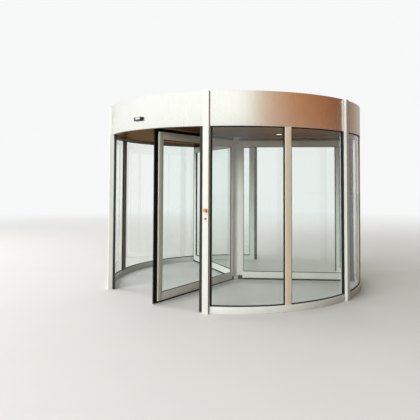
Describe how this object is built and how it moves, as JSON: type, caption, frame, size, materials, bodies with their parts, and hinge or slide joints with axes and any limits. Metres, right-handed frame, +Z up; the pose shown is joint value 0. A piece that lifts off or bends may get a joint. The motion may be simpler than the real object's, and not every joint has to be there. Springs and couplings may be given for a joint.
{
  "type": "automatic revolving door",
  "caption": "Round automatic revolving door: glazed drum with curved walls and a metal canopy, and a rotor of framed glass wings with brush seals on a centre column.",
  "frame": {"origin": "on the floor, on the rotor's turning axis, at the centre of the bounding box's base", "axes": "+Z up along the turning axis; -Y towards the street-side entrance; +X along the facade line, to the right as seen from the street"},
  "size_m": [3.87, 3.864, 2.62],
  "materials": {
    "white_cap": "white powder coat",
    "mullion_paint": "warm grey powder coat",
    "rail_paint": "light grey powder coat",
    "fascia_metal": "brushed upright",
    "canopy_metal": "grey coat",
    "ceiling_panel": "bronze, glossy",
    "drive_paint": "grey paint",
    "wall_glass": "clear, curved",
    "wing_glass": "clear, flat",
    "wing_metal": "light powder coat",
    "black_rubber": "matt",
    "black_brush": "brush pile",
    "sensor_plastic": "dark gloss",
    "sensor_window": "clear over a silver lens",
    "light_plastic": "opal",
    "orange_plastic": "gloss",
    "red_plastic": "gloss",
    "steel": "satin"
  },
  "bodies": {
    "drum": {"front_left_post": "white_cap", "front_left_mullion": "mullion_paint", "front_left_base_rail": "rail_paint", "front_left_glass": "wall_glass", "front_left_fascia": "fascia_metal", "front_right_post": "white_cap", "front_right_mullion": "mullion_paint", "front_right_base_rail": "rail_paint", "front_right_glass": "wall_glass", "front_right_fascia": "fascia_metal", "rear_left_post": "white_cap", "rear_left_mullion": "mullion_paint", "rear_left_base_rail": "rail_paint", "rear_left_glass": "wall_glass", "rear_left_fascia": "fascia_metal", "rear_right_post": "white_cap", "rear_right_mullion": "mullion_paint", "rear_right_base_rail": "rail_paint", "rear_right_glass": "wall_glass", "rear_right_fascia": "fascia_metal", "left_facade_post": "white_cap", "right_facade_post": "white_cap", "front_fascia": "fascia_metal", "rear_fascia": "fascia_metal", "canopy_ring": "canopy_metal", "ceiling": "ceiling_panel", "roof_cover": "canopy_metal", "drive_beam": "canopy_metal", "drive_unit": "drive_paint", "safety_edges": "black_rubber", "sensor_housings": "sensor_plastic", "sensor_windows": "sensor_window", "downlights": "light_plastic", "emergency_stops": "orange_plastic", "slow_buttons": "red_plastic", "floor_bearing": "steel"},
    "wings": {"centre_column": "wing_metal", "first_wing_frame": "wing_metal", "first_wing_glass": "wing_glass", "first_wing_seals": "black_brush", "second_wing_frame": "wing_metal", "second_wing_glass": "wing_glass", "second_wing_seals": "black_brush", "third_wing_frame": "wing_metal", "third_wing_glass": "wing_glass", "third_wing_seals": "black_brush"}
  },
  "joints": [
    {"name": "rotor_turn", "type": "hinge", "parent": "drum", "child": "wings", "pos_m": [0, 0, 0], "axis": [0, 0, 1], "continuous": true}
  ]
}
